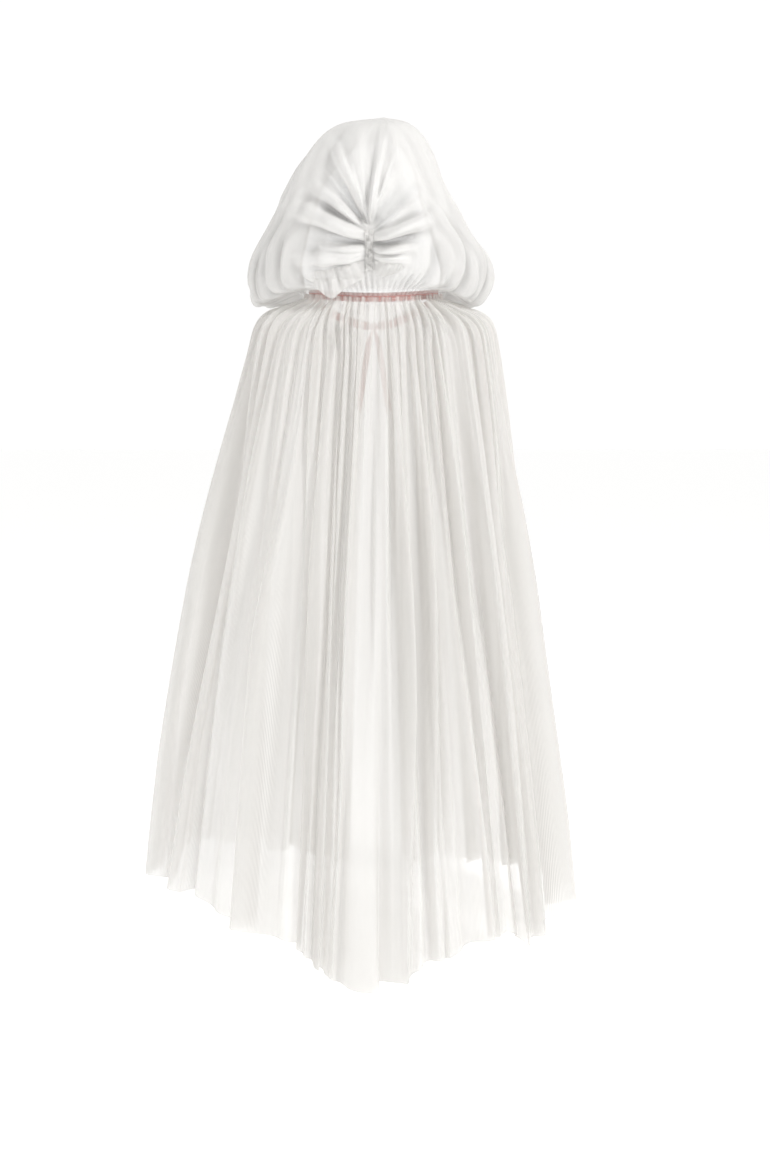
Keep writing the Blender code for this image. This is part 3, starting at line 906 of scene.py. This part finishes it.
def tulle_material(net):
    """Sheer ivory net: its cover comes from the cloth's folds, with fine streaks, a fine net and
    painted shade in its hollows.
    """
    material, tree, shader = new_material(net.name)
    uv = cloth_map(tree)
    threads = net_pattern(tree, uv, NET_HOLE)
    streaks = noise(tree, uv, net.streak_size)
    least = 1.0 - net.streak_share / 2
    uneven = maths(tree, "MULTIPLY_ADD", streaks, net.streak_share, least)
    body = maths(tree, "MULTIPLY", kept_value(tree, "dense"), uneven)
    alpha = maths(tree, "MULTIPLY", body, maths(tree, "MULTIPLY_ADD", threads, 0.50, 0.75))
    inputs = {"Value": alpha, "Min": LEAST_COVER, "Max": MOST_COVER}
    covered = new_node(tree, "ShaderNodeClamp", inputs).outputs["Result"]
    colour = blend(tree, streaks, tinted(net.pale, PALE_TINT), tinted(net.pale, STREAK_TINT))
    # Painted shade: the colour goes to a darker tint where the cloth lies in a hollow
    shade_painted_colour = blend(tree, kept_value(tree, "hollow_painted_shade"), colour, tinted(net.deep, PAINTED_SHADE_TINT))
    height = maths(tree, "MULTIPLY", streaks, net.crinkle)
    height = maths(tree, "MULTIPLY_ADD", threads, THREAD_HEIGHT, height)
    normal = bumped(tree, height, 0.6, 0.002)
    feed(tree, shader, {"Base Color": shade_painted_colour, "Normal": normal, "Specular IOR Level": 0.25})
    feed(tree, shader, {"Roughness": 0.62, "Sheen Weight": 0.15, "Sheen Roughness": 0.45})
    glow = new_node(tree, "ShaderNodeBsdfTranslucent", {"Color": shade_painted_colour, "Normal": normal})
    inputs = {0: net.glow_share, 1: shader.outputs["BSDF"], 2: glow.outputs["BSDF"]}
    cloth = new_node(tree, "ShaderNodeMixShader", inputs)
    clear = new_node(tree, "ShaderNodeBsdfTransparent", {})
    inputs = {0: covered, 1: clear.outputs["BSDF"], 2: cloth.outputs["Shader"]}
    sheer = new_node(tree, "ShaderNodeMixShader", inputs)
    feed(tree, tree.nodes["Material Output"], {"Surface": sheer.outputs["Shader"]})
    return material


def ribbon_material():
    """Dusty rose satin ribbon: a fine weft rib, a soft streak and a satin sheen."""
    material, tree, shader = new_material("rose satin ribbon")
    uv = cloth_map(tree)
    streaks = noise(tree, uv, (60.0, 900.0, 1.0))
    rib = new_node(tree, "ShaderNodeTexWave", {"Scale": 420.0, "Vector": uv}, bands_direction="X")
    colour = blend(tree, streaks, (0.44, 0.195, 0.180, 1.0), (0.54, 0.270, 0.245, 1.0))
    normal = bumped(tree, rib.outputs["Fac"], 0.30, 0.0003)
    feed(tree, shader, {"Base Color": colour, "Normal": normal})
    feed(tree, shader, {"Roughness": 0.38, "Sheen Weight": 0.30})
    return material


def thread_material():
    """Ivory sewing thread with a fine twist."""
    material, tree, shader = new_material("ivory sewing thread")
    place = new_node(tree, "ShaderNodeTexCoord", {}).outputs["Object"]
    twist = noise(tree, place, (1500.0, 1500.0, 1500.0))
    colour = blend(tree, twist, (0.66, 0.62, 0.57, 1.0), (0.82, 0.79, 0.74, 1.0))
    feed(tree, shader, {"Base Color": colour, "Roughness": 0.6})
    return material


# Stitches


def stitch_tree():
    """A tree that lays stitches along a line: even steps, each a short rounded thread."""
    tree = bpy.data.node_groups.new("stitches along a line", "GeometryNodeTree")
    face = tree.interface
    for label, kind in (
        ("Geometry", "Geometry"),
        ("Pitch", "Float"),
        ("Stitch length", "Float"),
        ("Thread radius", "Float"),
        ("Material", "Material"),
    ):
        face.new_socket(label, in_out="INPUT", socket_type="NodeSocket" + kind)
    face.new_socket("Geometry", in_out="OUTPUT", socket_type="NodeSocketGeometry")
    given = new_node(tree, "NodeGroupInput", {}).outputs
    line = new_node(tree, "GeometryNodeMeshToCurve", {"Mesh": given["Geometry"]})
    inputs = {"Curve": line.outputs["Curve"], "Length": given["Pitch"]}
    points = new_node(tree, "GeometryNodeCurveToPoints", inputs, mode="LENGTH").outputs
    inputs = {"Segments": 6, "Rings": 5, "Radius": given["Thread radius"]}
    ball = new_node(tree, "GeometryNodeMeshUVSphere", inputs)
    half = maths(tree, "MULTIPLY", given["Stitch length"], 0.5)
    ratio = maths(tree, "DIVIDE", half, given["Thread radius"])
    long = new_node(tree, "ShaderNodeCombineXYZ", {"X": 1.0, "Y": 1.0, "Z": ratio})
    inputs = {"Points": points["Points"], "Rotation": points["Rotation"]}
    lay = new_node(tree, "GeometryNodeInstanceOnPoints", inputs)
    feed(tree, lay, {"Instance": ball.outputs["Mesh"], "Scale": long.outputs["Vector"]})
    real = new_node(tree, "GeometryNodeRealizeInstances", {"Geometry": lay.outputs["Instances"]})
    inputs = {"Geometry": real.outputs["Geometry"], "Material": given["Material"]}
    finish = new_node(tree, "GeometryNodeSetMaterial", inputs)
    new_node(tree, "NodeGroupOutput", {"Geometry": finish.outputs["Geometry"]})
    return tree


def socket_name(tree, label):
    """The identifier of one of a tree's inputs."""
    for item in tree.interface.items_tree:
        if item.item_type == "SOCKET" and item.in_out == "INPUT" and item.name == label:
            return item.identifier
    raise KeyError(label)


def stitches(name, tree, lines, stitch, material):
    """A plain mesh of stitches along lines of points."""
    mesh = bpy.data.meshes.new(name + "_lines")
    points, edges = [], []
    for line in lines:
        start = len(points)
        points += [tuple(map(float, point)) for point in line]
        edges += [(start + k, start + k + 1) for k in range(len(line) - 1)]
    mesh.from_pydata(points, edges, [])
    guide = placed(name + "_lines", mesh)
    modifier = guide.modifiers.new("Stitches", "NODES")
    modifier.node_group = tree
    labels = ("Pitch", "Stitch length", "Thread radius", "Material")
    for label, value in zip(labels, (*stitch, material)):
        modifier[socket_name(tree, label)] = value
    seen = guide.evaluated_get(bpy.context.evaluated_depsgraph_get())
    plain = bpy.data.meshes.new_from_object(seen)
    plain.name = name
    guide.modifiers.remove(modifier)
    bpy.data.objects.remove(guide)
    plain.shade_smooth()
    return placed(name, plain)


# Smaller pieces


def with_wall(piece, wall):
    """Gives a sheet of ribbon its thickness."""
    thick = piece.modifiers.new("Wall", "SOLIDIFY")
    thick.thickness = wall
    thick.offset = 0.0
    return piece


def neck_band(material):
    """The ribbon round the neck, from one side of the knot to the other."""
    end = math.degrees(math.asin((KNOT_HALF.x + SEAM) / NECK_HALF_WIDTH))
    angle = np.linspace(-90.0 + end, 270.0 - end, 481)[None, :]
    up = np.linspace(BAND_LOW, BAND_HIGH, 9)[:, None]
    patchy = 0.6 + 0.4 * np.sin(np.radians(angle) * 7)
    pucker = PUCKER_HEIGHT * np.sin(np.radians(angle) * PUCKERS) * patchy
    aside = (up - (BAND_LOW + BAND_HIGH) / 2) / (BAND_HIGH - BAND_LOW) * 2
    points = neck_point(angle * np.ones_like(up), pucker + BAND_CROWN * (1.0 - aside**2), up)
    uv = stack(np.radians(angle) * (NECK_HALF_WIDTH + NECK_HALF_DEPTH) / 2, up)
    piece = sheet_object("band_ribbon", points, uv, 0.0, 0.0, material, neck_normal(angle))
    return with_wall(piece, BAND_WALL)


def tie_end(name, side, material):
    """One hanging end of the tie, cut to a swallow tail."""
    across = np.linspace(0.0, 1.0, 13)[None, :]
    share = np.linspace(0.0, 1.0, 61)[:, None]
    notch = TAIL_NOTCH * (1.0 - np.abs(across - 0.5) * 2.0)
    long = TAIL_LENGTH - notch * smooth((share - 0.85) / 0.15)
    drop = KNOT_HALF.z + SEAM + share * long
    width = mix(0.5, 1.0, smooth(share / 0.15)) * TAIL_WIDTH
    inner = SEAM + math.sin(math.radians(TAIL_LEAN)) * share * TAIL_LENGTH
    twist = TAIL_TWIST * np.sin(9.0 * share + side) * (across - 0.5) * 2.0
    curl = TAIL_CURL * np.sin(5.0 * share) + twist
    centre = neck_point(-90.0)
    points = centre + stack(side * (inner + across * width), curl, -drop)
    uv = stack(share * TAIL_LENGTH, across * TAIL_WIDTH)
    return with_wall(sheet_object(name, points, uv, 0.0, 0.0, material, FORWARD), TAIL_WALL)


def tie_knot(material):
    """The knot: a plump bundle with the ribbon's wraps across it."""
    turn = np.linspace(0.0, math.tau, 65)[None, :]
    tilt = np.linspace(-math.pi / 2, math.pi / 2, 33)[:, None]
    plump = 1.0 - 0.05 * (1.0 + np.cos(turn * 3 + tilt * 4)) - 0.04 * np.sin(turn * 7 + tilt * 2) ** 2
    form = stack(np.cos(tilt) * np.cos(turn), np.cos(tilt) * np.sin(turn), np.sin(tilt))
    points = neck_point(-90.0) + form * np.array(KNOT_HALF) * plump[..., None]
    uv = stack(turn, tilt) * 0.01
    piece = sheet_object("knot_ribbon", points, uv, 0.0, 0.0, material, form)
    with edited(piece.data) as bm:
        bmesh.ops.remove_doubles(bm, verts=bm.verts, dist=1e-6)
        bmesh.ops.dissolve_degenerate(bm, edges=bm.edges, dist=1e-7)
    return piece


def hood_tab(material):
    """The creased tab that holds the ruching."""
    side = np.linspace(-1.0, 1.0, 37)[None, :]
    share = np.linspace(0.0, 1.0, 61)[:, None]
    up = mix(TAB_TOP, TAB_FOOT, share)
    swell = TAB_CROWN * np.sin(math.pi * share) * (1.0 - side**2)
    creases = sum(c.height * np.sin(c.across * side + c.along * share + c.start) for c in TAB_CREASES)
    narrow = 1.0 - TAB_WAIST * np.sin(math.pi * share)
    across = RUCHE_ACROSS - side * TAB_HALF_WIDTH * narrow
    points = on_hood_back(across, up, CLEAR_OF_HOOD + TAB_OUT + swell + creases)
    uv = stack(side * 0.04, share * 0.08)
    # Painted shade in the tab's creases
    painted_shade = hollow_painted_shade(creases, TAB_PAINTED_SHADE)
    return sheet_object("tab_cloth", points, uv, TAB_COVER, painted_shade, material, BACKWARD)


def spare_cloth(name, stations, material):
    """Spare cloth beside the tab, swelling out and hanging clear of the hood."""
    share = np.linspace(0.0, 1.0, 41)[:, None]
    at = np.linspace(0.0, len(stations) - 1.0, 91)[None, :]
    rows = [(k, *station) for k, station in enumerate(stations)]
    across, top, foot, swell = (through(rows, column, at) for column in range(1, 5))
    bulge = np.sin(math.pi * (0.15 + 0.75 * share))
    wrinkle = FALL_WRINKLE * np.sin(at * 7.0 + share * 6.0) * smooth(swell / FALL_CALM)
    up = mix(top, foot, share)
    points = on_hood_back(across, up, CLEAR_OF_HOOD + swell * bulge + wrinkle)
    uv = stack(across, up)
    plain = on_hood_back(across, up, CLEAR_OF_HOOD)
    edge = smooth((share - 0.90) / 0.05) + smooth((0.06 - share) / 0.04)
    covered = cover(points, plain, SHEER_HOOD, SHEER_FALL_WIDTH)
    dense = np.clip(0.5 + 0.5 * covered + 0.3 * edge, 0.0, 1.0)
    # Painted shade in the dips of the spare cloth
    painted_shade = hollow_painted_shade(points[..., 1] - plain[..., 1], FALL_PAINTED_SHADE)
    return sheet_object(name, points, uv, dense, painted_shade, material, BACKWARD)


def face_edge(side, rise):
    """One side's face edge of the hood, the way in from it along the cloth, and the way out of it."""
    edge = through(HOOD_SECTIONS, 8, rise)
    first, _ = hood_surface(90.0 - side * (90.0 + edge), rise)
    inner, outward = hood_surface(90.0 - side * (90.0 - FACE_HEM_TURN + edge), rise)
    return first, unit(inner - first), outward


def face_hem(material):
    """The narrow doubled hem along both sides of the hood's face opening, just outside the hood."""
    made = []
    rise = np.linspace(FACE_HEM_FROM, FACE_HEM_TO, 260)[:, None]
    for name, side in (("face_hem_left", 1.0), ("face_hem_right", -1.0)):
        first, along, outward = face_edge(side, rise)
        width = np.linspace(0.0, FACE_HEM_WIDTH, 5)[None, :]
        points = first + along * width[..., None] + outward * FACE_HEM_OUT
        uv = stack(width, rise * 0.6)
        made.append(sheet_object(name, points, uv, FACE_HEM_COVER, 0.0, material, outward))
    return made


def hem_lines():
    """The stitched lines of the face hems, one down each side."""
    rise = np.linspace(FACE_HEM_FROM, FACE_STITCHES_TO, 400)[:, None]
    lines = []
    for side in (1.0, -1.0):
        first, along, outward = face_edge(side, rise)
        lines.append((first + along * FACE_STITCH_IN + outward * FACE_STITCH_OUT)[:, 0])
    return lines


def tab_lines():
    """The stitched lines across both ends of the tab."""
    across = RUCHE_ACROSS + np.linspace(-0.9, 0.9, 40) * TAB_HALF_WIDTH
    ends = (TAB_TOP - TAB_STITCH_IN, TAB_FOOT + TAB_STITCH_IN)
    return [on_hood_back(across, up, CLEAR_OF_HOOD + TAB_STITCH_OUT) for up in ends]


def neck_lines():
    """The gathering line under the band, and the two lines along the band's edges."""
    around = np.linspace(-90.0 + OPENING_AT_NECK, 270.0 - OPENING_AT_NECK, NECK_LINE_POINTS)
    out = np.ones(NECK_LINE_POINTS)
    gathered = neck_point(around, out * (NECK_OUT + NECK_GATHER + STITCH_OUT), GATHERING_LOW)
    edges = (BAND_LOW + BAND_STITCH_IN, BAND_HIGH - BAND_STITCH_IN)
    return [gathered], [neck_point(around, out * BAND_STITCH_OUT, up) for up in edges]


# Stage, light and camera


def floor():
    """A plain pale floor just under the hem."""
    low = float(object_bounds()[0][2]) - FLOOR_BELOW_HEM
    mesh = bpy.data.meshes.new("studio_floor")
    with edited(mesh) as bm:
        bmesh.ops.create_grid(bm, x_segments=1, y_segments=1, size=FLOOR_REACH)
        bmesh.ops.translate(bm, vec=(0.0, 0.0, low), verts=bm.verts)
    material, tree, shader = new_material("pale floor")
    feed(tree, shader, {"Base Color": (0.93, 0.93, 0.925, 1.0), "Roughness": 0.9})
    feed(tree, shader, {"Emission Color": (1.0, 1.0, 1.0, 1.0), "Emission Strength": FLOOR_GLOW})
    mesh.materials.append(material)
    made = placed("studio_floor", mesh)


def lighting():
    """A plain soft studio with two round lamps."""
    world = bpy.data.worlds.new("studio")
    world.use_nodes = True
    tree = world.node_tree
    place = new_node(tree, "ShaderNodeTexCoord", {})
    parts = new_node(tree, "ShaderNodeSeparateXYZ", {"Vector": place.outputs["Generated"]})
    inputs = {"Value": parts.outputs["Y"], "From Min": PANEL_ENDS, "From Max": DIM_FROM}
    panel = new_node(tree, "ShaderNodeMapRange", inputs, interpolation_type="SMOOTHSTEP")
    feed(tree, panel, {"To Min": WHITE_PANEL, "To Max": STUDIO_DIM})
    back = {"Color": (1.0, 0.998, 0.992, 1.0), "Strength": panel.outputs["Result"]}
    feed(tree, tree.nodes["Background"], back)
    bpy.context.scene.world = world
    for name, lamp in LIGHTS.items():
        light = bpy.data.lights.new(name, "AREA")
        light.shape = "DISK"
        light.size = lamp.size
        light.energy = lamp.power
        made = placed(name, light)
        made.location = lamp.place
        aim = Vector(lamp.target) - Vector(lamp.place)
        made.rotation_euler = aim.to_track_quat("-Z", "Y").to_euler()


def camera():
    """The photo's camera, straight from behind."""
    data = bpy.data.cameras.new("camera")
    data.sensor_fit = "VERTICAL"
    data.sensor_height = SENSOR_HEIGHT
    data.lens = FOCAL_PIXELS * SENSOR_HEIGHT / PHOTO_HEIGHT
    made = placed("camera", data)
    made.location = (0.0, CAMERA_DISTANCE, CAMERA_HEIGHT)
    made.rotation_euler = (math.pi / 2 - CAMERA_DOWN, 0.0, math.pi - CAMERA_ASIDE)
    bpy.context.scene.camera = made


def main():
    """The whole cloak, its pieces hung on the root with the solids they stand for hidden, and its
    studio.
    """
    tulle = tulle_material(CAPE_NET)
    hood_tulle = tulle_material(HOOD_NET)
    ribbon = ribbon_material()
    thread = thread_material()

    seam = (CAPE_FOLDS - BACK_FOLDS) / 2 / CAPE_FOLDS
    panels = {
        "cape_left_front": (0.0, seam),
        "cape_back": (seam, 1.0 - seam),
        "cape_right_front": (1.0 - seam, 1.0),
    }
    pieces = {}
    for node, (first, last) in panels.items():
        pieces[node] = cape_panel(node + "_cloth", first, last, tulle)
    pieces["hood"] = hood_sheet(hood_tulle)
    pieces["hood_tab"] = hood_tab(hood_tulle)
    for node, stations in SPARE_CLOTH.items():
        pieces[node] = spare_cloth(node + "_cloth", stations, hood_tulle)
    hems = face_hem(hood_tulle)
    pieces["neck_band"] = neck_band(ribbon)
    pieces["tie_knot"] = tie_knot(ribbon)
    pieces["tie_end_left"] = tie_end("tie_ribbon_left", 1.0, ribbon)
    pieces["tie_end_right"] = tie_end("tie_ribbon_right", -1.0, ribbon)

    tree = stitch_tree()
    gathering, edges = neck_lines()
    lines = {
        "gathering_stitches": gathering,
        "band_edge_stitches": edges,
        "face_hem_stitches": hem_lines(),
        "tab_stitches": tab_lines(),
    }
    sewing = [stitches(name, tree, lines[name], stitch, thread) for name, stitch in STITCHES.items()]

    for node, piece in pieces.items():
        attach(piece, "root")
        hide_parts(node)
    for piece in hems + sewing:
        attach(piece, "root")

    floor()
    lighting()
    camera()
    scene = bpy.context.scene
    scene.view_settings.view_transform = "Standard"
    scene.cycles.transparent_max_bounces = NET_LAYERS


main()
